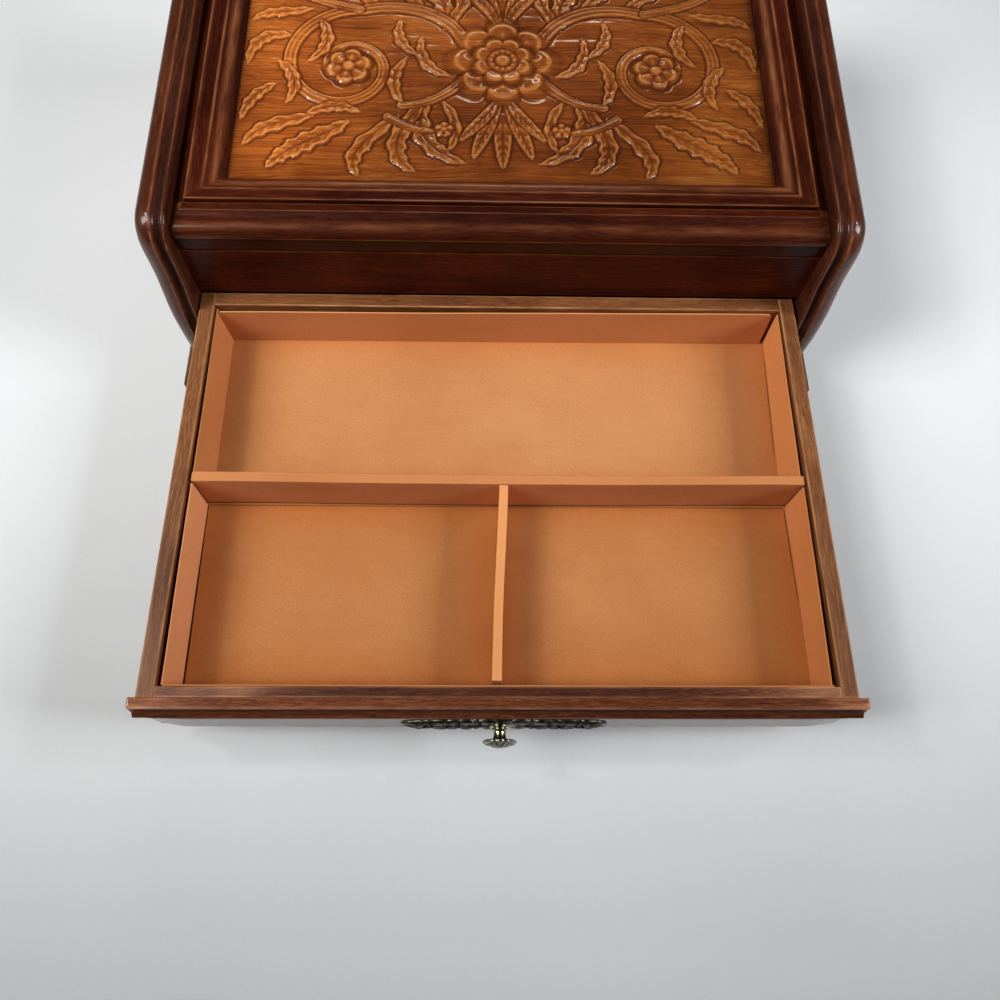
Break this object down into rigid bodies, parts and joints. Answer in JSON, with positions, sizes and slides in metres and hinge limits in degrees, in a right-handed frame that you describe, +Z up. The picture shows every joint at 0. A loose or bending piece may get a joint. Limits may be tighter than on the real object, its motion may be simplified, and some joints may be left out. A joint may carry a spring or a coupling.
{
  "type": "valet jewelry box",
  "caption": "Wooden valet jewellery box: hinged carved lid over a lined tray, moulded cheeks on a wide base, and a lined drawer with a brass pull.",
  "frame": {"origin": "on the table plane, under the centre of the base board", "axes": "+X to the right and +Y to the back as seen by a person at the drawer, +Z up"},
  "size_m": [0.2824, 0.3502, 0.1017],
  "materials": {
    "case_wood": "dark red mahogany stain under gloss lacquer",
    "lid_wood": "dark red mahogany stain under gloss lacquer",
    "carved_wood": "golden brown stained pressed relief, lacquered",
    "drawer_wood": "light brown stain, satin",
    "suede_lining": "peach orange flocked suede paper",
    "base_felt": "dark green felt",
    "antique_brass": "antiqued brass",
    "screw_steel": "zinc plated",
    "dowel_wood": "bare beech",
    "lid_backing": "bare hardboard"
  },
  "bodies": {
    "case": {"base_board": "case_wood", "felt_base_pad": "base_felt", "left_cheek": "case_wood", "right_cheek": "case_wood", "back_panel": "case_wood", "front_rail": "case_wood", "case_floor": "case_wood", "left_runner": "drawer_wood", "right_runner": "drawer_wood", "tray_board": "drawer_wood", "tray_floor_lining": "suede_lining", "tray_front_lining": "suede_lining", "tray_back_lining": "suede_lining", "tray_left_lining": "suede_lining", "tray_right_lining": "suede_lining", "tray_long_divider": "suede_lining", "tray_cross_divider": "suede_lining", "case_dowels": "dowel_wood", "base_screws": "screw_steel", "hinge_case_screws": "screw_steel", "left_hinge_case_leaf": "antique_brass", "right_hinge_case_leaf": "antique_brass", "left_hinge_pin": "antique_brass", "right_hinge_pin": "antique_brass"},
    "lid": {"lid_front_rail": "lid_wood", "lid_back_rail": "lid_wood", "lid_left_stile": "lid_wood", "lid_right_stile": "lid_wood", "lid_front_bead": "lid_wood", "lid_back_bead": "lid_wood", "lid_left_bead": "lid_wood", "lid_right_bead": "lid_wood", "carved_panel": "carved_wood", "lid_backing_board": "lid_backing", "lid_lining": "suede_lining", "hinge_lid_screws": "screw_steel", "left_hinge_lid_leaf": "antique_brass", "right_hinge_lid_leaf": "antique_brass"},
    "drawer": {"drawer_front": "case_wood", "drawer_box_front": "drawer_wood", "drawer_left_side": "drawer_wood", "drawer_right_side": "drawer_wood", "drawer_back": "drawer_wood", "drawer_bottom": "drawer_wood", "drawer_floor_lining": "suede_lining", "drawer_left_front_lining": "suede_lining", "drawer_left_rear_lining": "suede_lining", "drawer_right_front_lining": "suede_lining", "drawer_right_rear_lining": "suede_lining", "drawer_front_lining": "suede_lining", "drawer_back_lining": "suede_lining", "drawer_long_divider": "suede_lining", "drawer_cross_divider": "suede_lining", "pull_backplate": "antique_brass", "pull_knob": "antique_brass", "knob_screw": "screw_steel", "backplate_pins": "antique_brass", "drawer_front_screws": "screw_steel"}
  },
  "joints": [
    {"name": "drawer_slide", "type": "slide", "parent": "case", "child": "drawer", "axis": [0, 1, 0], "range_m": [0, 0.1556]},
    {"name": "lid_hinge", "type": "hinge", "parent": "case", "child": "lid", "pos_m": [0, 0.0947, 0.0835], "axis": [-1, 0, 0], "range_deg": [0, 100]}
  ]
}
